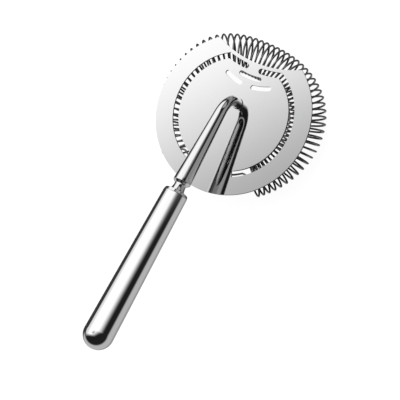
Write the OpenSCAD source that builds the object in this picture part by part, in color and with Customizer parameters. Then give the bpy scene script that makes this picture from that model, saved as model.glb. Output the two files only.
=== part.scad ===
// Hawthorne strainer: a notched steel disc with a coil spring under its rim,
// and a bent stem that carries a hollow, round grip.
// Origin: centre of the disc on its underside, the face that seats on a glass rim.
// +Z points to the stem's side, +Y to the pouring notch, and the grip lies towards -Y.

/* [Plate] */
// Diameter of the disc
plate_d = 82; // [76:0.5:90]
// Thickness of the sheet
plate_t = 1.2; // [1:0.1:1.6]
// Distance between the two corners of the pouring notch
notch_w = 47.8; // [44:0.1:52]
// Distance from the disc's centre to the deepest point of the notch
notch_y = 28; // [27:0.1:30]

/* [Slots] */
// Outer radius of the two curved slots
slot_r = 32; // [30.5:0.1:33]
// Width of a slot where it runs round the disc
slot_w = 3.1; // [2.4:0.1:3.6]
// Width of a slot where it runs beside the notch
leg_w = 2.9; // [2.2:0.1:3.4]
// Width of the metal strip between notch and slot
strip_w = 1.7; // [1.4:0.1:2.4]
// Width of the bridge between the two slots at the notch
bridge_w = 8.6; // [6:0.1:11]
// Angle from the handle's line to the lower end of a slot
slot_end_deg = 24; // [20:1:30]
// Height of the folded lip under a slot's inner edge
lip_h = 0.5; // [0.4:0.1:0.6]

/* [Vents] */
// Width of the three short vents
vent_w = 2.3; // [1.6:0.1:2.8]
// Length of the vent on the centre line
mid_vent_l = 12.6; // [9:0.1:14]
// Length of the two side vents
side_vent_l = 11; // [9:0.1:12]
// Radius to which the vents are curved
vent_bend_r = 30; // [20:1:60]

/* [Spring] */
// Diameter of the spring wire
wire_d = 1; // [0.8:0.05:1.1]
// Width of one turn, over the wire
coil_w = 19.4; // [17:0.1:19.8]
// Height of one turn, over the wire
coil_h = 16.9; // [14:0.1:17.5]
// Radius of the ring that the coil follows
ring_r = 35.2; // [34.8:0.1:36]
// How far the ring's centre lies from the disc's centre, towards the notch
ring_shift = 2; // [1.6:0.1:2.6]
// How far the ring dips inwards at the notch
ring_dip = 6.2; // [5:0.1:7]
// Number of turns, a multiple of one turn
coil_turns = 60; // [52:1:62]

/* [Stem] */
// Distance of the stem's foot from the disc's centre, towards the notch
foot_y = 5.7; // [4:0.1:8]
// Diameter of the upright and of the bend
post_d = 5.2; // [4.4:0.1:6]
// Radius of the bend, on its centre line
bend_r = 10.5; // [6:0.1:12]
// Height of the handle's axis over the disc's underside, above the disc's centre
axis_z = 16.6; // [15:0.1:20]
// Rise of the handle above level
rise_deg = 10.9; // [5:0.1:16]
// Diameter of the stem at its shoulder
stem_end_d = 9.2; // [8:0.1:10]
// Distance along the axis from above the disc's centre to the shoulder
stem_l = 44.6; // [40:0.1:55]

/* [Grip] */
// Length of the coved neck between stem and grip
neck_l = 4.3; // [3.6:0.1:8]
// Narrowest diameter of the neck
neck_d = 6; // [5.6:0.1:7]
// Diameter of the grip at the neck
grip_d = 12.7; // [11:0.1:14]
// Diameter of the grip at its domed end
grip_end_d = 15.4; // [13:0.1:17]
// Length of the whole grip with its dome
grip_l = 88; // [75:0.5:100]
// Wall of the hollow grip
grip_wall = 0.8; // [0.6:0.1:1.2]

/* [Hidden] */
$fn = 96;
steel = "silver";

plate_r = plate_d / 2;
wedge = 90;                 // reach of the half planes that cut outlines
round_gap = 0.02;           // a vent's round ends are this much narrower than the vent
lip_inset = 0.03;           // a lip stands this far behind the slot's wall
lip_root = 0.4;             // and reaches this far up into the sheet

// The notch is the arc through both corners and the deepest point.
corner_y = sqrt(plate_r * plate_r - notch_w * notch_w / 4);
notch_depth = corner_y - notch_y;
notch_r = (notch_w * notch_w / 4 + notch_depth * notch_depth) / (2 * notch_depth);
notch_cy = notch_y + notch_r;

// The foot passes through the disc with a small clearance.
tenon_r = 1.6;
tenon_gap = 0.02;
weld_r = 2.9;
weld_h = 0.3;
back_weld_r = 2.5;
back_weld_h = 0.6;

// The spring's centre line: half axes of one turn and the depth of its centre.
coil_a = (coil_w - wire_d) / 2;
coil_b = (coil_h - wire_d) / 2;
plate_gap = 0.05;
coil_top = -plate_gap - wire_d / 2;
coil_from = -50.2;          // world angle of the first turn
coil_to = 231.7;            // and of the last one
bow = 4.28;                 // degrees the middle turns lag behind an even spacing
spread = 2.36;              // degrees by which both halves are drawn towards the notch
crowd = 4.74;               // degrees by which the first turns are pushed together
crowd_turns = 11.9;         // number of turns that takes
low = 0.52;                 // share of its height the first turn lacks; it grows over the same turns
lean = 6.1;                 // degrees the turns lean, one way at the right and the other at the left
lean_mean = -2.7;
dip_at = 88;                // world angle at which the ring dips most
dip_right = 75;             // degrees over which the dip dies away at the right of the notch
dip_left = 56;              // and at its left
steps = 12;                 // points on one turn
sides = 6;                  // sides of the wire's section
tail_r = 30.4;              // radius at which the wire's two ends run to their anchors
tail_z = -1.3;
tail_steps = 9;
hook_l = 1.8;

// The anchors stand just past the slots' lower ends.
anchor_deg = 70;            // below the X axis, on either side
anchor_w = 4.4;
anchor_t = 0.8;
anchor_h = 2.6;
anchor_foot = 4;
eye_r = wire_d / 2 + 0.2;

// Bend of the stem: where upright and bar would cross, and the length cut off there.
cross_t = -foot_y / cos(rise_deg);
cross_z = axis_z + cross_t * sin(rise_deg);
bend_cut = bend_r * tan((90 - rise_deg) / 2);
bar_from = cross_t + bend_cut;
shoulder = 1.3;             // length and depth of the chamfer at the stem's end
bar_belly = 0.3;            // the bar is this much fatter halfway than a straight taper
bar_steps = 8;
seam_deg = 1;               // the bend runs this far into the upright and the bar
bend_step = 0.08;           // and is this much slimmer than they are

// Stations along the handle's axis.
neck_from = stem_l;
grip_from = neck_from + neck_l;
plug_l = 1.6;
plug_front_r = 6;
plug_deep = 9;
dome_r = grip_end_d / 2;
cap_from = grip_from + grip_l - dome_r;
cap_spigot = 6;
stud_r = 2;
stud_fit = 0.02;
stud_in_stem = 9;
stud_in_plug = 7;

// Radius of the ring's centre line at world angle a.
function dip_share(u) = abs(u) < 1 ? pow(cos(90 * u), 2) : 0;
function ring_at(a) = ring_r + ring_shift * sin(a)
    - ring_dip * dip_share((a - dip_at) / (a < dip_at ? dip_right : dip_left));

// World angle of the coil after s turns.
function first_share(s) = max(0, 1 - s / crowd_turns);
function even_at(u) = (coil_from - crowd) * (1 - u) + coil_to * u;
function angle_at(s) = let(u = s / coil_turns) even_at(u)
    - bow * 4 * u * (1 - u) + spread * 10 * u * (1 - u) * (1 - 2 * u) + crowd * pow(first_share(s), 4);

function polar(r, a, z) = [r * cos(a), r * sin(a), z];
function turn_b(s) = coil_b * (1 - low * first_share(s));
function turn_side(a) = a + lean * cos(a) + lean_mean;
function coil_point(s) = let(a = angle_at(s), b = turn_b(s), q = 90 - 360 * s)
    polar(ring_at(a), a, coil_top - b) + polar(coil_a * cos(q), turn_side(a), b * sin(q));
function coil_ref(s) = let(q = 90 - 360 * s)
    polar(cos(q) / coil_a, turn_side(angle_at(s)), sin(q) / turn_b(s));

// A tail leaves the coil at its top and runs beside the slot to the anchor's eye.
function ease(u) = u < 1 ? u * u * (3 - 2 * u) : 1;
function tail_point(a, b, r, u) = polar(
    r + (tail_r - r) * ease(u * 2.4), a + (b - a) * pow(u, 1.3), coil_top + (tail_z - coil_top) * u);

first_tail = [for (i = [tail_steps:-1:1])
    tail_point(coil_from, -anchor_deg - 1.5, ring_at(coil_from), i / tail_steps)];
last_tail = [for (i = [1:tail_steps])
    tail_point(coil_to, 180 + anchor_deg + 1.5, ring_at(coil_to), i / tail_steps)];
first_hook = polar(tail_r - hook_l, -anchor_deg - 3.5, tail_z);
last_hook = polar(tail_r - hook_l, 180 + anchor_deg + 3.5, tail_z);

wire_path = concat([first_hook], first_tail,
    [for (i = [0:coil_turns * steps]) coil_point(i / steps)], last_tail, [last_hook]);
wire_ref = concat([[0, 0, 1]], [for (i = [1:tail_steps]) [0, 0, 1]],
    [for (i = [0:coil_turns * steps]) coil_ref(i / steps)], [for (i = [1:tail_steps]) [0, 0, 1]],
    [[0, 0, 1]]);

function unit(v) = v / norm(v);

// A tube of radius r along the path; ref steers the first corner of each section.
module sweep(path, ref, r, n) {
    last = len(path) - 1;
    rings = [for (i = [0:last])
        let (t = unit(path[min(i + 1, last)] - path[max(i - 1, 0)]),
             u = unit(ref[i] - (ref[i] * t) * t),
             v = cross(t, u))
        [for (k = [0:n - 1]) path[i] + r * (cos(360 * k / n) * u + sin(360 * k / n) * v)]];
    points = [for (ring = rings) for (p = ring) p];
    walls = [for (i = [0:last - 1]) for (k = [0:n - 1])
        let (a = i * n + k, b = i * n + (k + 1) % n)
        [a, a + n, b + n, b]];
    first = [for (k = [0:n - 1]) k];
    end = [for (k = [n - 1:-1:0]) last * n + k];
    polyhedron(points, concat(walls, [first, end]), convexity = 8);
}

// ---------- strainer plate ----------

module notch_band(inner, outer) {
    translate([0, notch_cy]) difference() {
        circle(notch_r + outer, $fn = 180);
        circle(notch_r + inner, $fn = 180);
    }
}

// The right-hand slot: round the disc, then beside the notch as far as the bridge.
module slot_outline() {
    leg_mid_r = notch_r + strip_w + leg_w / 2;
    leg_x = bridge_w / 2;
    intersection() {
        union() {
            difference() {
                circle(slot_r);
                circle(slot_r - slot_w);
                translate([0, notch_cy]) circle(notch_r + strip_w, $fn = 180);
            }
            intersection() {
                circle(slot_r);
                notch_band(strip_w, strip_w + leg_w);
            }
        }
        polygon([
            [leg_x, -leg_x * tan(90 - slot_end_deg)], [wedge, -wedge * tan(90 - slot_end_deg)],
            [wedge, wedge], [leg_x, wedge]
        ]);
    }
    translate([leg_x, notch_cy - sqrt(leg_mid_r * leg_mid_r - leg_x * leg_x)]) circle(leg_w / 2);
}

// A short curved vent, hollow side to the notch, centred on the origin.
module vent_outline(l) {
    half = asin((l - vent_w) / 2 / vent_bend_r);
    translate([0, vent_bend_r]) {
        intersection() {
            difference() {
                circle(vent_bend_r + vent_w / 2);
                circle(vent_bend_r - vent_w / 2);
            }
            polygon([[0, 0], [-wedge * tan(half), -wedge], [wedge * tan(half), -wedge]]);
        }
        for (s = [-1, 1]) rotate(s * half) translate([0, -vent_bend_r]) circle(vent_w / 2 - round_gap, $fn = 32);
    }
}

module plate_outline() {
    difference() {
        circle(plate_r, $fn = 180);
        translate([0, notch_cy]) circle(notch_r, $fn = 180);
        for (s = [0, 1]) mirror([s, 0]) slot_outline();
        translate([0, 20.4]) vent_outline(mid_vent_l);
        for (s = [0, 1]) mirror([s, 0]) translate([7.9, 16.9]) rotate(16) vent_outline(side_vent_l);
        translate([0, foot_y]) circle(tenon_r + tenon_gap, $fn = 48);
    }
}

// Lip folded down from the slot's inner edge, round the disc only.
module slot_lip() {
    from = -90 + slot_end_deg + 1;
    to = 30;
    rotate(from) rotate_extrude(angle = to - from)
        translate([slot_r - slot_w - plate_t - lip_inset, -lip_h]) square([plate_t, lip_h + lip_root]);
}

module strainer_plate() {
    color(steel) {
        linear_extrude(plate_t) plate_outline();
        for (s = [0, 1]) mirror([s, 0, 0]) slot_lip();
    }
}

// ---------- spring and its anchors ----------

module spring_anchor() {
    color(steel) rotate(-anchor_deg) translate([tail_r, 0, 0]) difference() {
        union() {
            translate([-anchor_w / 2, -anchor_foot, -anchor_t]) cube([anchor_w, anchor_foot, anchor_t]);
            translate([-anchor_w / 2, -anchor_t, -anchor_h]) cube([anchor_w, anchor_t, anchor_h]);
        }
        translate([0, 1, tail_z]) rotate([90, 0, 0]) cylinder(r = eye_r, h = anchor_t + 2, $fn = 32);
    }
}

module right_spring_anchor() {
    spring_anchor();
}

module left_spring_anchor() {
    mirror([1, 0, 0]) spring_anchor();
}

module coil_spring() {
    color("gainsboro") sweep(wire_path, wire_ref, wire_d / 2, sides);
}

// ---------- stem ----------

// Places children on the handle's axis, t along it, local +Z towards the grip's end.
module on_axis(t) {
    translate([0, -t * cos(rise_deg), axis_z + t * sin(rise_deg)]) rotate([90 - rise_deg, 0, 0]) children();
}

module stem_bar() {
    l = stem_l - bar_from;
    r = stem_end_d / 2;
    on_axis(bar_from) difference() {
        rotate_extrude() polygon(concat(
            [[0, 0]],
            [for (i = [0:bar_steps]) let(u = i / bar_steps) [
                post_d / 2 * (1 - u) + r * u + bar_belly * 4 * u * (1 - u), (l - shoulder) * u]],
            [[r - shoulder, l], [0, l]]
        ));
        translate([0, 0, l - stud_in_stem]) cylinder(r = stud_r + stud_fit, h = stud_in_stem + 1, $fn = 48);
    }
}

module handle_stem() {
    post_top = cross_z - bend_cut;
    color(steel) {
        translate([0, foot_y, 0]) cylinder(r = tenon_r, h = plate_t + 1, $fn = 48);
        translate([0, foot_y, plate_t]) cylinder(d = post_d, h = post_top - plate_t);
        translate([0, foot_y - bend_r, post_top]) rotate([90, 0, 90]) rotate(-seam_deg)
            rotate_extrude(angle = 90 - rise_deg + 2 * seam_deg) translate([bend_r, 0]) circle(d = post_d - bend_step);
        stem_bar();
    }
}

// Concave fillet of weld round the foot.
module stem_foot_weld() {
    w = weld_r - post_d / 2;
    color(steel) translate([0, foot_y, plate_t]) rotate_extrude() difference() {
        translate([post_d / 2, 0]) square([w, weld_h]);
        translate([weld_r, weld_h]) circle(r = w - 0.08, $fn = 64);
    }
}

// Bead that closes the tenon's hole underneath.
module stem_back_weld() {
    dome = (back_weld_r * back_weld_r + back_weld_h * back_weld_h) / (2 * back_weld_h);
    color(steel) translate([0, foot_y, 0]) rotate_extrude() intersection() {
        translate([0, -back_weld_h]) square([back_weld_r, back_weld_h]);
        translate([0, dome - back_weld_h]) circle(r = dome, $fn = 180);
    }
}

// ---------- grip ----------

// Coved sleeve over the stud: narrow behind the stem's shoulder, flared at the grip.
module neck_collar() {
    flare = 0.9;
    cove_r = (neck_l * neck_l + flare * flare) / (2 * flare);
    color(steel) on_axis(neck_from) rotate_extrude() difference() {
        translate([stud_r + stud_fit, 0]) square([neck_d / 2 + flare - stud_r - stud_fit, neck_l]);
        translate([neck_d / 2 + cove_r, 0]) circle(r = cove_r, $fn = 180);
    }
}

module grip_stud() {
    color(steel) on_axis(neck_from - stud_in_stem + 0.5)
        cylinder(r = stud_r, h = stud_in_stem + neck_l + stud_in_plug - 0.5, $fn = 48);
}

// Radius of the grip's outside, t along the axis.
function grip_r(t) = grip_d / 2 + (grip_end_d - grip_d) / 2 * (t - grip_from) / (cap_from - grip_from);

module grip_front_plug() {
    r = grip_r(grip_from + plug_l);
    bore_r = r - grip_wall - 0.02;
    color(steel) on_axis(grip_from) rotate_extrude() polygon([
        [stud_r + stud_fit, 0], [plug_front_r, 0], [r, plug_l], [bore_r, plug_l], [bore_r, plug_deep],
        [stud_r + stud_fit, plug_deep]
    ]);
}

module grip_tube() {
    from = grip_from + plug_l;
    l = cap_from - from;
    color(steel) on_axis(from) rotate_extrude() polygon([
        [grip_r(from) - grip_wall, 0], [grip_r(from), 0], [dome_r, l], [dome_r - grip_wall, l]
    ]);
}

module grip_end_cap() {
    spigot_r = grip_r(cap_from - cap_spigot) - grip_wall - 0.02;
    color(steel) on_axis(cap_from) difference() {
        union() {
            rotate_extrude() intersection() {
                circle(r = dome_r);
                square(dome_r);
            }
            translate([0, 0, -cap_spigot]) cylinder(r = spigot_r, h = cap_spigot);
        }
        translate([0, 0, -cap_spigot - 1]) cylinder(r = spigot_r - grip_wall, h = cap_spigot + 2);
    }
}

strainer_plate();
left_spring_anchor();
right_spring_anchor();
coil_spring();
handle_stem();
stem_foot_weld();
stem_back_weld();
neck_collar();
grip_stud();
grip_front_plug();
grip_tube();
grip_end_cap();
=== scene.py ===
"""Hawthorne strainer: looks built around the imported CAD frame."""
import math

import bmesh
import bpy
from mathutils import Matrix, Vector


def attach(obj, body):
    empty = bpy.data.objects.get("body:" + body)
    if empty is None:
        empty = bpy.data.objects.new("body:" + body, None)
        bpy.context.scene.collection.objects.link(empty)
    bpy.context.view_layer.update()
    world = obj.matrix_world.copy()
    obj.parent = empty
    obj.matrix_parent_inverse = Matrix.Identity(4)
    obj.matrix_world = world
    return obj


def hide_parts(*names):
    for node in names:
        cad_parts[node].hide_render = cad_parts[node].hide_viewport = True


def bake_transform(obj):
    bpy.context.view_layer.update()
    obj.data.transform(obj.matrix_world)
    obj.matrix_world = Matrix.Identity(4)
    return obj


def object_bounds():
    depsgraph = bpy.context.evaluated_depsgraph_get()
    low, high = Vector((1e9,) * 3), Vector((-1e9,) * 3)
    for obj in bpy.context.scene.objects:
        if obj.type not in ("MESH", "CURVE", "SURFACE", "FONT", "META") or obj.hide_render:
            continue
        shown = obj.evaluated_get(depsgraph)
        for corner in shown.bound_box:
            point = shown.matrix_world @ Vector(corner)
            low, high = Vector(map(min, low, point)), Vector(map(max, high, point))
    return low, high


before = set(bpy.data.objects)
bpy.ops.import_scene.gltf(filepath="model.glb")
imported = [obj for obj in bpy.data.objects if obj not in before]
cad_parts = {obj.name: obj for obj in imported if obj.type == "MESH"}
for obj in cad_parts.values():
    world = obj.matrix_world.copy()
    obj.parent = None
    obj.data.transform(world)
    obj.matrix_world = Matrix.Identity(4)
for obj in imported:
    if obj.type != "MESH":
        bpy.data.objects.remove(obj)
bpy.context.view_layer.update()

MM = 0.001
SHARP_DEG = 32              # edges sharper than this keep their crease

# Sizes in millimetres, as in the CAD part.
PLATE_T = 1.2
AXIS_Z = 16.6               # height of the handle's axis over the frame's origin
RISE = math.radians(10.9)   # slope of the handle's axis
FOOT_Y = 5.7                # where the upright stands
TENON_R = 1.6               # the upright inside the disc
POST_R = 2.6
BEND_R = 10.5
BEND_GAIN = 0.35            # the stem's taper begins in the bend
STEM_L = 44.6
STEM_R = 4.6
SHOULDER = 1.3
WELD_R, WELD_H = 2.9, 0.3
NECK_L = 4.3
NECK_R = 3.0
NECK_FLARE = 0.9
NECK_BORE = 2.1
GRIP_R0, GRIP_R1 = 6.35, 7.7
GRIP_L = 88.0
PLUG_L = 1.6
PLUG_R = 6.0
PLUG_BORE = 2.3
TUBE_WALL = 0.8
AXIS_GAP = 0.004            # the dome's profile stops this short of its axis
WIRE_R = 0.5


# ---------- small helpers ----------

def smooth(t):
    t = max(0.0, min(1.0, t))
    return t * t * (3 - 2 * t)


def round_angles(n):
    return [2 * math.pi * k / n for k in range(n)]


def circle(centre, radius, side, up, n):
    """Points round a centre, in the plane of side and up."""
    return [
        tuple(centre + radius * (math.cos(a) * side + math.sin(a) * up))
        for a in round_angles(n)
    ]


def new_piece(name, verts, faces, slot, stands_for, body="strainer"):
    """A mesh in millimetres as a piece; body is None where the piece is attached to no body."""
    mesh = bpy.data.meshes.new(name)
    mesh.from_pydata([Vector(v) * MM for v in verts], [], faces)
    mesh.validate()
    bm = bmesh.new()
    bm.from_mesh(mesh)
    bmesh.ops.recalc_face_normals(bm, faces=bm.faces)
    bm.to_mesh(mesh)
    bm.free()
    for p in mesh.polygons:
        p.use_smooth = True
    mesh.set_sharp_from_angle(angle=math.radians(SHARP_DEG))
    obj = bpy.data.objects.new(name, mesh)
    bpy.context.scene.collection.objects.link(obj)
    if body:
        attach(obj, body)
    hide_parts(*stands_for)
    return obj


def skin(rings, closed_ring=False):
    """Quads between rings of equal length.

    Fans close the ends, unless the rings close on themselves.
    """
    n = len(rings[0])
    verts = [v for ring in rings for v in ring]
    faces = []
    last = len(rings) if closed_ring else len(rings) - 1
    for i in range(last):
        a, b = i * n, ((i + 1) % len(rings)) * n
        for k in range(n):
            m = (k + 1) % n
            faces.append((a + k, a + m, b + m, b + k))
    if not closed_ring:
        for ring_index in (0, len(rings) - 1):
            centre = sum((Vector(v) for v in rings[ring_index]), Vector()) / n
            verts.append(tuple(centre))
            c = len(verts) - 1
            base = ring_index * n
            for k in range(n):
                faces.append((base + k, base + (k + 1) % n, c))
    return verts, faces


def on_axis(t, x=0.0, up=0.0):
    """Point at t along the handle's axis, x sideways and up across the axis."""
    return Vector((
        x,
        -t * math.cos(RISE) + up * math.sin(RISE),
        AXIS_Z + t * math.sin(RISE) + up * math.cos(RISE),
    ))


def softened(profile, radius, steps=4, hold=0.06):
    """Rounds every corner of an open (t, r) profile and adds holding points beside it."""
    out = [profile[0]]
    for i in range(1, len(profile) - 1):
        p, q, s = (Vector(profile[j]) for j in (i - 1, i, i + 1))
        a, b = (p - q), (s - q)
        cut = min(radius, a.length * 0.45, b.length * 0.45)
        a.normalize()
        b.normalize()
        start, end = q + a * cut, q + b * cut
        room = min(hold, (p - q).length * 0.1, (s - q).length * 0.1)
        out.append(tuple(start + a * room))
        for k in range(steps + 1):
            u = k / steps
            out.append(tuple(start * (1 - u) ** 2 + q * 2 * u * (1 - u) + end * u ** 2))
        out.append(tuple(end + b * room))
    out.append(profile[-1])
    return out


def lathe(name, profile, segments=160, **kw):
    """Closed (t, r) profile turned about the handle's axis."""
    rings = []
    for t, r in profile:
        rings.append([
            tuple(on_axis(t, r * math.sin(a), r * math.cos(a)))
            for a in round_angles(segments)
        ])
    return new_piece(name, *skin(rings, closed_ring=True), **kw)


def lathe_z(name, centre, profile, segments=96, **kw):
    """Closed (z, r) profile turned about a vertical axis."""
    rings = []
    for z, r in profile:
        rings.append([
            (centre[0] + r * math.sin(a), centre[1] + r * math.cos(a), z)
            for a in round_angles(segments)
        ])
    return new_piece(name, *skin(rings, closed_ring=True), **kw)


def tube(name, path, radius, sides, **kw):
    """Round wire along a path, with a frame that doesn't twist and rounded ends."""
    pts = [Vector(p) for p in path]
    n = len(pts)
    tangents = [(pts[min(i + 1, n - 1)] - pts[max(i - 1, 0)]).normalized() for i in range(n)]
    side = tangents[0].orthogonal().normalized()
    rings = []
    for i in range(n):
        side = (side - tangents[i] * side.dot(tangents[i])).normalized()
        other = tangents[i].cross(side)
        stations = [(0.0, 1.0)]
        if i == 0:
            stations = [(-0.55, 0.25), (-0.45, 0.66), (-0.2, 0.92), (0.0, 1.0)]
        if i == n - 1:
            stations = [(0.0, 1.0), (0.2, 0.92), (0.45, 0.66), (0.55, 0.25)]
        for along, wide in stations:
            c = pts[i] + tangents[i] * along * radius
            rings.append(circle(c, radius * wide, side, other, sides))
    return new_piece(name, *skin(rings), **kw)


# ---------- materials ----------

def tree_of(name):
    mat = bpy.data.materials.new(name)
    mat.use_nodes = True
    nodes, links = mat.node_tree.nodes, mat.node_tree.links
    return mat, nodes, links, nodes["Principled BSDF"]


def add(nodes, kind, **props):
    node = nodes.new(kind)
    for key, value in props.items():
        setattr(node, key, value)
    return node


def polished_steel(
        name, tone, rough_low, rough_high, scratch,
        crown=0.0, brush_axis=(900.0, 60.0, 900.0), wall_shade_tone=None):
    """Mirror-polished steel with hairline scratches and faint smudges.

    crown leans the normal outwards, and the wall tone darkens upright walls as a painted shade.
    """
    mat, nodes, links, shader = tree_of(name)
    shader.inputs["Metallic"].default_value = 1.0
    coords = add(nodes, "ShaderNodeTexCoord")

    # Faint smudges in the polish change the roughness.
    smudge = add(nodes, "ShaderNodeTexNoise")
    smudge.inputs["Scale"].default_value = 60.0
    smudge.inputs["Detail"].default_value = 5.0
    smudge.inputs["Roughness"].default_value = 0.6
    smudge.inputs["Distortion"].default_value = 0.8
    links.new(coords.outputs["Object"], smudge.inputs["Vector"])
    spread = add(nodes, "ShaderNodeMapRange", interpolation_type="SMOOTHSTEP")
    spread.inputs["From Min"].default_value = 0.42
    spread.inputs["From Max"].default_value = 0.72
    spread.inputs["To Min"].default_value = rough_low
    spread.inputs["To Max"].default_value = rough_high
    links.new(smudge.outputs["Fac"], spread.inputs["Value"])

    # A slow drift in tone, as on real polished sheet and tube.
    drift = add(nodes, "ShaderNodeTexNoise")
    drift.inputs["Scale"].default_value = 25.0
    drift.inputs["Detail"].default_value = 2.0
    links.new(coords.outputs["Object"], drift.inputs["Vector"])
    tint = add(nodes, "ShaderNodeMix", data_type="RGBA")
    tint.inputs[6].default_value = (tone * 0.975, tone * 0.98, tone * 0.985, 1)
    tint.inputs[7].default_value = (tone * 1.02, tone * 1.02, tone * 1.02, 1)
    links.new(drift.outputs["Fac"], tint.inputs["Factor"])
    tone_out, rough_out = tint.outputs[2], spread.outputs["Result"]
    if wall_shade_tone:
        # Painted shade: the walls that the punch cut through the sheet are darkened in colour
        # to stand for shade; they are also duller than its polished faces.
        facing = add(nodes, "ShaderNodeNewGeometry")
        parts = add(nodes, "ShaderNodeSeparateXYZ")
        links.new(facing.outputs["True Normal"], parts.inputs[0])
        upright = add(nodes, "ShaderNodeMath", operation="ABSOLUTE")
        links.new(parts.outputs[2], upright.inputs[0])
        wall = add(nodes, "ShaderNodeMapRange", interpolation_type="SMOOTHSTEP")
        wall.inputs["From Min"].default_value = 0.3
        wall.inputs["From Max"].default_value = 0.9
        wall.inputs["To Min"].default_value = 1.0
        wall.inputs["To Max"].default_value = 0.0
        links.new(upright.outputs[0], wall.inputs["Value"])
        cut = add(nodes, "ShaderNodeMix", data_type="RGBA")
        cut.inputs[7].default_value = (wall_shade_tone, wall_shade_tone, wall_shade_tone, 1)
        links.new(wall.outputs["Result"], cut.inputs["Factor"])
        links.new(tone_out, cut.inputs[6])
        tone_out = cut.outputs[2]
        dull = add(nodes, "ShaderNodeMix", data_type="FLOAT")
        dull.inputs[3].default_value = 0.45
        links.new(wall.outputs["Result"], dull.inputs[0])
        links.new(rough_out, dull.inputs[2])
        rough_out = dull.outputs[0]
    links.new(tone_out, shader.inputs["Base Color"])
    links.new(rough_out, shader.inputs["Roughness"])

    # Hairline scratches, stretched along one axis.
    stretch = add(nodes, "ShaderNodeMapping")
    stretch.inputs["Scale"].default_value = brush_axis
    stretch.inputs["Rotation"].default_value = (0.0, 0.0, 0.3)
    hair = add(nodes, "ShaderNodeTexNoise")
    hair.inputs["Scale"].default_value = 4.0
    hair.inputs["Detail"].default_value = 3.0
    links.new(coords.outputs["Object"], stretch.inputs["Vector"])
    links.new(stretch.outputs["Vector"], hair.inputs["Vector"])
    bump = add(nodes, "ShaderNodeBump")
    bump.inputs["Strength"].default_value = scratch
    bump.inputs["Distance"].default_value = 0.00002
    links.new(hair.outputs["Fac"], bump.inputs["Height"])

    if crown:
        # Stamping leaves the sheet very slightly crowned: the normal leans outwards
        # with the distance from the centre.
        lean = add(nodes, "ShaderNodeVectorMath", operation="MULTIPLY")
        lean.inputs[1].default_value = (crown, crown, 0.0)
        links.new(coords.outputs["Object"], lean.inputs[0])
        geometry = add(nodes, "ShaderNodeNewGeometry")
        total = add(nodes, "ShaderNodeVectorMath", operation="ADD")
        links.new(geometry.outputs["Normal"], total.inputs[0])
        links.new(lean.outputs["Vector"], total.inputs[1])
        unit = add(nodes, "ShaderNodeVectorMath", operation="NORMALIZE")
        links.new(total.outputs["Vector"], unit.inputs[0])
        links.new(unit.outputs["Vector"], bump.inputs["Normal"])
    links.new(bump.outputs["Normal"], shader.inputs["Normal"])
    return mat


CROWN_R = 1.5               # metres, radius of the disc's crown

# The plate's upright walls get a near-black painted shade.
plate_steel = polished_steel(
    "polished_plate_steel", tone=0.58, rough_low=0.03, rough_high=0.055, scratch=0.05,
    crown=1 / CROWN_R, wall_shade_tone=0.06)
handle_steel = polished_steel(
    "polished_handle_steel", tone=0.62, rough_low=0.03, rough_high=0.06, scratch=0.04)
wire_steel = polished_steel(
    "spring_wire_steel", tone=0.19, rough_low=0.10, rough_high=0.18, scratch=0.25,
    brush_axis=(500, 500, 500))
weld_steel = polished_steel(
    "weld_steel", tone=0.5, rough_low=0.12, rough_high=0.25, scratch=0.4,
    brush_axis=(300, 300, 300))
stud_steel = polished_steel(
    "turned_stud_steel", tone=0.48, rough_low=0.2, rough_high=0.3, scratch=0.4,
    brush_axis=(80, 900, 900))


def paint(obj, mat):
    obj.data.materials.clear()
    obj.data.materials.append(mat)


# ---------- spring ----------

# Angles are in degrees about the disc's centre, counted from +X towards +Y.
RING_R, RING_SHIFT, RING_DIP = 35.2, 2.0, 6.2   # ring, its shift to the front, dip at the notch
DIP_AT, DIP_RIGHT, DIP_LEFT = 88.0, 75.0, 56.0  # the dip's middle and its reach to each side
COIL_A, COIL_B = 9.2, 7.95                      # half width and half height of a turn
COIL_TOP = -0.05 - WIRE_R                       # the wire's axis at the top of a turn
COIL_FROM, COIL_TO, TURNS = -50.2, 231.7, 60
BOW, SPREAD = 4.28, 2.36                        # slow unevenness of the turns' spacing
CROWD, CROWD_TURNS, LOW = 4.74, 11.9, 0.52      # the first turns lie closer and lower
LEAN, LEAN_MEAN = 6.1, -2.7                     # how far the turns lean to one side
TAIL_R, TAIL_Z, ANCHOR_DEG, HOOK_L = 30.4, -1.3, 70.0, 1.8
EYE_DEG, PAST_EYE_DEG = 1.5, 3.5                # the tail in its anchor, and its end beyond


def polar(r, deg, z):
    return Vector((r * math.cos(math.radians(deg)), r * math.sin(math.radians(deg)), z))


def ring_at(deg):
    u = (deg - DIP_AT) / (DIP_RIGHT if deg < DIP_AT else DIP_LEFT)
    dip = RING_DIP * math.cos(math.radians(90 * u)) ** 2 if abs(u) < 1 else 0.0
    return RING_R + RING_SHIFT * math.sin(math.radians(deg)) - dip


def first_share(s):
    return max(0.0, 1 - s / CROWD_TURNS)


def angle_at(s):
    u = s / TURNS
    even = (COIL_FROM - CROWD) * (1 - u) + COIL_TO * u
    bow = BOW * 4 * u * (1 - u)
    spread = SPREAD * 10 * u * (1 - u) * (1 - 2 * u)
    return even - bow + spread + CROWD * first_share(s) ** 4


def coil_point(s):
    turn = math.radians(90 - 360 * s)
    deg = angle_at(s)
    b = COIL_B * (1 - LOW * first_share(s))
    side = deg + LEAN * math.cos(math.radians(deg)) + LEAN_MEAN
    centre = polar(ring_at(deg), deg, COIL_TOP - b)
    return centre + polar(COIL_A * math.cos(turn), side, b * math.sin(turn))


def tail_point(start, end, u):
    r = ring_at(start)
    return polar(
        r + (TAIL_R - r) * smooth(u * 2.4), start + (end - start) * u ** 1.3,
        COIL_TOP + (TAIL_Z - COIL_TOP) * u)


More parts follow.
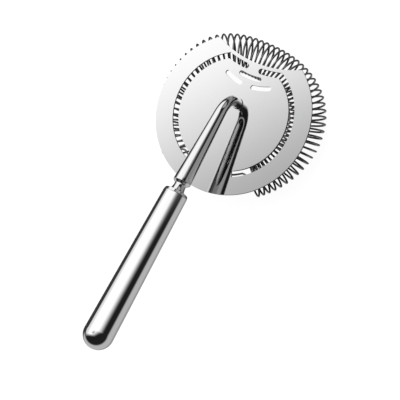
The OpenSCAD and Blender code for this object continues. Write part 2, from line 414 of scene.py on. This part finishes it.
def build_spring():
    per_turn, tail, sides = 30, 22, 12
    first, last = -ANCHOR_DEG, 180 + ANCHOR_DEG
    path = [polar(TAIL_R - HOOK_L, first - PAST_EYE_DEG, TAIL_Z)]
    path += [tail_point(COIL_FROM, first - EYE_DEG, i / tail) for i in range(tail, 0, -1)]
    path += [coil_point(i / per_turn) for i in range(TURNS * per_turn + 1)]
    path += [tail_point(COIL_TO, last + EYE_DEG, i / tail) for i in range(1, tail + 1)]
    path.append(polar(TAIL_R - HOOK_L, last + PAST_EYE_DEG, TAIL_Z))
    spring = tube(
        "spring_wire_coil", path, WIRE_R, sides,
        slot="spring_wire", stands_for=("coil_spring",), body=None)
    paint(spring, wire_steel)
    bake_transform(spring)


# ---------- stem ----------

def build_stem():
    cross_t = -FOOT_Y / math.cos(RISE)
    cross_z = AXIS_Z + cross_t * math.sin(RISE)
    cut = BEND_R * math.tan((math.pi / 2 - RISE) / 2)
    post_top = cross_z - cut
    bar_from = cross_t + cut
    segments, post_steps, bend_steps, taper_steps = 96, 6, 28, 24
    root_z = 0.02          # the tenon starts just inside the disc
    stations = []          # centre, tangent, radius
    for i in range(post_steps + 1):
        z = root_z + (post_top - root_z) * i / post_steps
        radius = POST_R if z > PLATE_T else TENON_R
        stations.append((Vector((0, FOOT_Y, z)), Vector((0, 0, 1)), radius))
    turn = math.pi / 2 - RISE
    for i in range(1, bend_steps + 1):
        a = turn * i / bend_steps
        c = Vector((0, FOOT_Y - BEND_R + BEND_R * math.cos(a), post_top + BEND_R * math.sin(a)))
        radius = POST_R + BEND_GAIN * (i / bend_steps) ** 2
        stations.append((c, Vector((0, -math.sin(a), math.cos(a))), radius))
    along = on_axis(1) - on_axis(0)
    taper_end = STEM_L - SHOULDER
    taper_l = taper_end - bar_from
    land = 0.3             # the last bit before the shoulder doesn't taper
    for i in range(1, taper_steps + 1):
        u = i / taper_steps * (1 - land / taper_l)
        r = (POST_R + BEND_GAIN) * (1 - u) + STEM_R * u
        stations.append((on_axis(bar_from + taper_l * u), along, r))
    profile = [
        (taper_end - land, STEM_R), (taper_end, STEM_R),
        (STEM_L, STEM_R - SHOULDER), (STEM_L, 1.0)]
    for t, r in softened(profile, 0.12)[1:]:
        stations.append((on_axis(t), along, r))
    # Extra rings keep long gaps smooth.
    widest_gap, spacing = 3, 1.5
    full = []
    for a, b in zip(stations, stations[1:]):
        full.append(a)
        gap = (b[0] - a[0]).length
        if gap > widest_gap:
            n = int(gap / spacing)
            for k in range(1, n):
                u = k / n
                full.append((a[0].lerp(b[0], u), b[1], a[2] + (b[2] - a[2]) * u))
    full.append(stations[-1])
    rings = []
    for c, tangent, r in full:
        side = Vector((1, 0, 0))
        rings.append(circle(c, r, side, side.cross(tangent), segments))
    stem = new_piece(
        "stem_forging", *skin(rings), slot="polished_handle", stands_for=("handle_stem",))
    paint(stem, handle_steel)


# ---------- neck and grip ----------

def turn_in_steel(name, profile, stands_for):
    """A turned piece of the handle, in its polished steel."""
    paint(lathe(name, profile, slot="polished_handle", stands_for=stands_for), handle_steel)


def build_neck():
    cove_r = (NECK_L * NECK_L + NECK_FLARE * NECK_FLARE) / (2 * NECK_FLARE)
    outer = []
    steps = 24
    for i in range(steps + 1):
        t = NECK_L * i / steps
        outer.append((STEM_L + t, NECK_R + cove_r - math.sqrt(cove_r ** 2 - t * t)))
    profile = [(STEM_L, NECK_BORE)] + outer + [(STEM_L + NECK_L, NECK_BORE)]
    turn_in_steel("neck_cove", profile, ("neck_collar",))


def grip_radius(t):
    start = STEM_L + NECK_L
    end = start + GRIP_L - GRIP_R1
    return GRIP_R0 + (GRIP_R1 - GRIP_R0) * (t - start) / (end - start)


def build_grip():
    start = STEM_L + NECK_L
    cap = start + GRIP_L - GRIP_R1
    seam = start + PLUG_L
    r = grip_radius(seam)
    groove, plug_land, tube_land = 0.14, 0.12, 0.1      # the seam's small V
    plug = softened([
        (seam, PLUG_BORE), (start, PLUG_BORE), (start, PLUG_R), (seam - plug_land, r),
        (seam, r - groove), (seam, PLUG_BORE + 0.1)], 0.09)
    turn_in_steel("grip_front_ring", plug, ("grip_front_plug",))

    steps = 40
    outer = [(seam, r - groove), (seam + tube_land, r)]
    for i in range(1, steps + 1):
        t = seam + (cap - seam) * i / steps
        outer.append((t, grip_radius(t)))
    profile = outer + [(cap, GRIP_R1 - TUBE_WALL), (seam, r - TUBE_WALL)]
    turn_in_steel("grip_shell", profile, ("grip_tube",))

    dome_land = 0.9
    dome = [(cap, GRIP_R1 - dome_land), (cap, GRIP_R1)]
    for i in range(1, steps + 1):
        a = math.pi / 2 * i / steps
        dome.append((cap + GRIP_R1 * math.sin(a), max(AXIS_GAP, GRIP_R1 * math.cos(a))))
    dome.append((cap + 1.0, AXIS_GAP))
    dome.append((cap, 0.5))
    turn_in_steel("grip_dome", dome, ("grip_end_cap",))


# ---------- foot weld ----------

def build_foot_weld():
    width = WELD_R - POST_R
    sunk, inner, top_land, brim = 0.05, 0.2, 0.1, 0.02
    steps = 14
    profile = [(PLATE_T - sunk, POST_R - inner), (PLATE_T - sunk, WELD_R)]
    for i in range(steps + 1):
        a = math.pi / 2 * i / steps
        r = WELD_R - (width - top_land) * math.sin(a)
        z = PLATE_T + WELD_H - (WELD_H - brim) * math.cos(a)
        profile.append((z, r))
    profile.append((PLATE_T + WELD_H, POST_R - inner))
    fillet = lathe_z(
        "foot_weld_fillet", (0, FOOT_Y), profile,
        slot="weld", stands_for=("stem_foot_weld",))
    paint(fillet, weld_steel)


# ---------- nodes that stay as in the CAD ----------

def dress_cad_nodes():
    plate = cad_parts["strainer_plate"]
    weld = plate.modifiers.new("weld", "WELD")
    weld.merge_threshold = 0.000002
    edge = plate.modifiers.new("edge", "BEVEL")
    edge.width = 0.0002
    edge.segments = 3
    edge.limit_method = "ANGLE"
    edge.angle_limit = math.radians(40)
    for p in plate.data.polygons:
        p.use_smooth = False
    paint(plate, plate_steel)
    for name in ("left_spring_anchor", "right_spring_anchor"):
        paint(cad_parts[name], plate_steel)
    paint(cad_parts["stem_back_weld"], weld_steel)
    paint(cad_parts["grip_stud"], stud_steel)


# ---------- studio ----------

# The camera: the turn from the part's frame to the camera's as a rotation vector,
# and the origin's place in front of the camera, in millimetres.
CAMERA_TURN = Vector((2.89834174, 0.61161594, -0.56093433))
CAMERA_PLACE = Vector((16.44774921, -42.71711397, 1491.74276545))
CAMERA_LENS = 270.0

# Brightness of what the steel mirrors.
SOFTBOX, TABLE, TABLE_LEFT, CARD, BACK_WALL, ROOM = 1.72, 0.69, 0.04, 0.36, 0.5, 0.02

STAGE_R = 6.0               # metres
FLOOR_GAP = 0.0004          # metres between the floor and the part

def build_camera():
    r = Matrix.Rotation(CAMERA_TURN.length, 3, CAMERA_TURN.normalized())
    place = -(r.transposed() @ CAMERA_PLACE)
    place.z += PLATE_T      # the camera is placed against the disc's top face
    cam_data = bpy.data.cameras.new("photo_camera")
    cam_data.lens = CAMERA_LENS
    cam_data.sensor_width = 36.0
    cam_data.clip_start = 0.01
    cam_data.clip_end = 50.0
    cam = bpy.data.objects.new("photo_camera", cam_data)
    bpy.context.scene.collection.objects.link(cam)
    flip = Matrix(((1, 0, 0), (0, -1, 0), (0, 0, -1)))
    rot = (flip @ r).transposed()
    cam.matrix_world = Matrix.Translation(place * MM) @ rot.to_4x4()
    bpy.context.scene.camera = cam


class Maths:
    """Writes arithmetic as shader nodes."""

    def __init__(self, tree):
        self.tree = tree

    def op(self, operation, *args):
        node = self.tree.nodes.new("ShaderNodeMath")
        node.operation = operation
        for i, a in enumerate(args):
            if isinstance(a, (int, float)):
                node.inputs[i].default_value = a
            else:
                self.tree.links.new(a, node.inputs[i])
        return node.outputs[0]

    def add(self, a, b):
        return self.op("ADD", a, b)

    def mul(self, a, b):
        return self.op("MULTIPLY", a, b)

    def step(self, value, low, high):
        """0 at low, 1 at high, smooth between; low may be above high."""
        node = self.tree.nodes.new("ShaderNodeMapRange")
        node.interpolation_type = "SMOOTHSTEP"
        flipped = low > high
        node.inputs["From Min"].default_value = min(low, high)
        node.inputs["From Max"].default_value = max(low, high)
        node.inputs["To Min"].default_value = 1.0 if flipped else 0.0
        node.inputs["To Max"].default_value = 0.0 if flipped else 1.0
        self.tree.links.new(value, node.inputs["Value"])
        return node.outputs["Result"]


def build_world():
    """Paints the surroundings by direction: x, y and z run from -1 to 1 along the frame's axes.

    Each step says between which two values of a direction an edge goes from dark to bright.
    """
    world = bpy.data.worlds.new("studio")
    bpy.context.scene.world = world
    world.use_nodes = True
    tree = world.node_tree
    tree.nodes.clear()
    m = Maths(tree)
    coords = tree.nodes.new("ShaderNodeTexCoord")
    split = tree.nodes.new("ShaderNodeSeparateXYZ")
    tree.links.new(coords.outputs["Generated"], split.inputs[0])
    x, y, z = split.outputs

    # Big overhead softbox, left of the object, with soft edges to the right,
    # to the front and to the back.
    back_left = m.mul(m.op("MAXIMUM", m.op("SUBTRACT", 0.03, x), 0.0), -2.0)
    u = m.add(m.add(y, m.mul(x, 0.2)), back_left)
    far_edge = m.step(u, 0.57, 0.46)
    lift = m.mul(m.op("MAXIMUM", m.add(y, -0.25), 0.0), 1.2)
    v = m.op("SUBTRACT", m.op("SUBTRACT", x, m.mul(y, 0.75)), lift)
    side_edge = m.step(v, 0.5, -0.45)
    near_edge = m.step(y, -0.58, -0.22)
    level = m.step(z, 0.0, 0.24)
    box = m.mul(m.mul(m.mul(far_edge, side_edge), near_edge), level)

    # The softbox is dimmer where the flat disc mirrors it, towards the right and the front.
    p = m.add(m.mul(m.add(x, 0.384), -0.777), m.mul(m.add(y, -0.075), 0.63))
    dim = m.add(m.mul(m.step(p, -0.10, 0.10), 0.6), 0.4)
    here = m.mul(m.step(y, 0.30, 0.18), m.step(y, -0.2, -0.08))
    here = m.mul(here, m.mul(m.step(x, -0.12, -0.25), m.step(x, -0.65, -0.52)))
    shade = m.add(1.0, m.mul(here, m.add(dim, -1.0)))
    towards_end = m.add(1.0, m.mul(m.step(x, -0.70, -0.93), -0.35))
    towards_back = m.add(1.0, m.mul(m.step(y, 0.36, 0.47), -0.17))
    softbox = m.mul(m.mul(m.mul(box, shade), m.mul(towards_end, towards_back)), SOFTBOX)

    # Grey table below the horizon, dark towards the left.
    below = m.step(z, 0.08, -0.24)
    left = m.mul(m.step(x, -0.36, -0.52), m.step(y, -0.45, -0.15))
    w = m.op("SUBTRACT", y, m.mul(z, 0.19))
    far = m.step(w, 0.24, 0.31)
    deep = m.mul(m.step(z, -0.4, -0.75), 0.19)
    far_drop = m.mul(far, m.add(deep, 0.33))
    surface = m.op("SUBTRACT", TABLE, far_drop)
    dark_edge = m.add(1.0, m.mul(m.step(z, -0.74, -0.94), -0.4))
    bright = m.mul(surface, dark_edge)
    table = m.mul(m.mul(below, m.op("SUBTRACT", 1.0, left)), bright)
    table = m.add(table, m.mul(m.mul(below, left), TABLE_LEFT))

    # A dim side card at the right, towards the back.
    above = m.step(z, -0.24, 0.08)
    card = m.mul(m.mul(m.mul(far, above), m.step(x, 0.70, 0.80)), CARD)

    # A grey wall at the back, which the disc mirrors only in views from other sides.
    wall_high = m.step(z, 0.1, 0.3)
    wall_back = m.mul(m.step(y, 0.62, 0.74), m.step(x, -0.1, 0.25))
    wall = m.mul(m.mul(wall_high, wall_back), BACK_WALL)
    total = m.add(m.add(m.add(softbox, wall), table), m.add(card, ROOM))

    background = tree.nodes.new("ShaderNodeBackground")
    output = tree.nodes.new("ShaderNodeOutputWorld")
    tree.links.new(total, background.inputs["Color"])
    background.inputs["Strength"].default_value = 1.0
    tree.links.new(background.outputs[0], output.inputs[0])


def emitter(name, strength, diffuse=0.0):
    """A white surface that glows, and is lit as well where diffuse is above 0."""
    mat = bpy.data.materials.new(name)
    mat.use_nodes = True
    nodes, links = mat.node_tree.nodes, mat.node_tree.links
    shader = nodes["Principled BSDF"]
    shader.inputs["Base Color"].default_value = (diffuse, diffuse, diffuse, 1)
    shader.inputs["Roughness"].default_value = 1.0
    shader.inputs["Specular IOR Level"].default_value = 0.0
    shader.inputs["Emission Color"].default_value = (1, 1, 1, 1)
    shader.inputs["Emission Strength"].default_value = strength
    return mat


def build_stage():
    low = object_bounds()[0]
    floor_z = low[2] - FLOOR_GAP
    bpy.ops.mesh.primitive_circle_add(
        vertices=128, radius=STAGE_R, fill_type="NGON", location=(0, 0, floor_z))
    floor = bpy.context.object
    floor.name = "floor"
    paint(floor, emitter("pale_floor", 0.95, 0.2))
    floor.visible_glossy = False
    bpy.ops.mesh.primitive_uv_sphere_add(
        segments=64, ring_count=32, radius=STAGE_R, location=(0, 0, floor_z))
    dome = bpy.context.object
    dome.name = "backdrop"
    paint(dome, emitter("pale_backdrop", 1.0))
    dome.visible_glossy = False
    dome.visible_diffuse = False
    dome.visible_shadow = False
    dome.visible_transmission = False


build_spring()
build_stem()
build_neck()
build_grip()
build_foot_weld()
dress_cad_nodes()
build_camera()
build_world()
build_stage()
scene = bpy.context.scene
scene.view_settings.view_transform = "Standard"
scene.view_settings.look = "None"
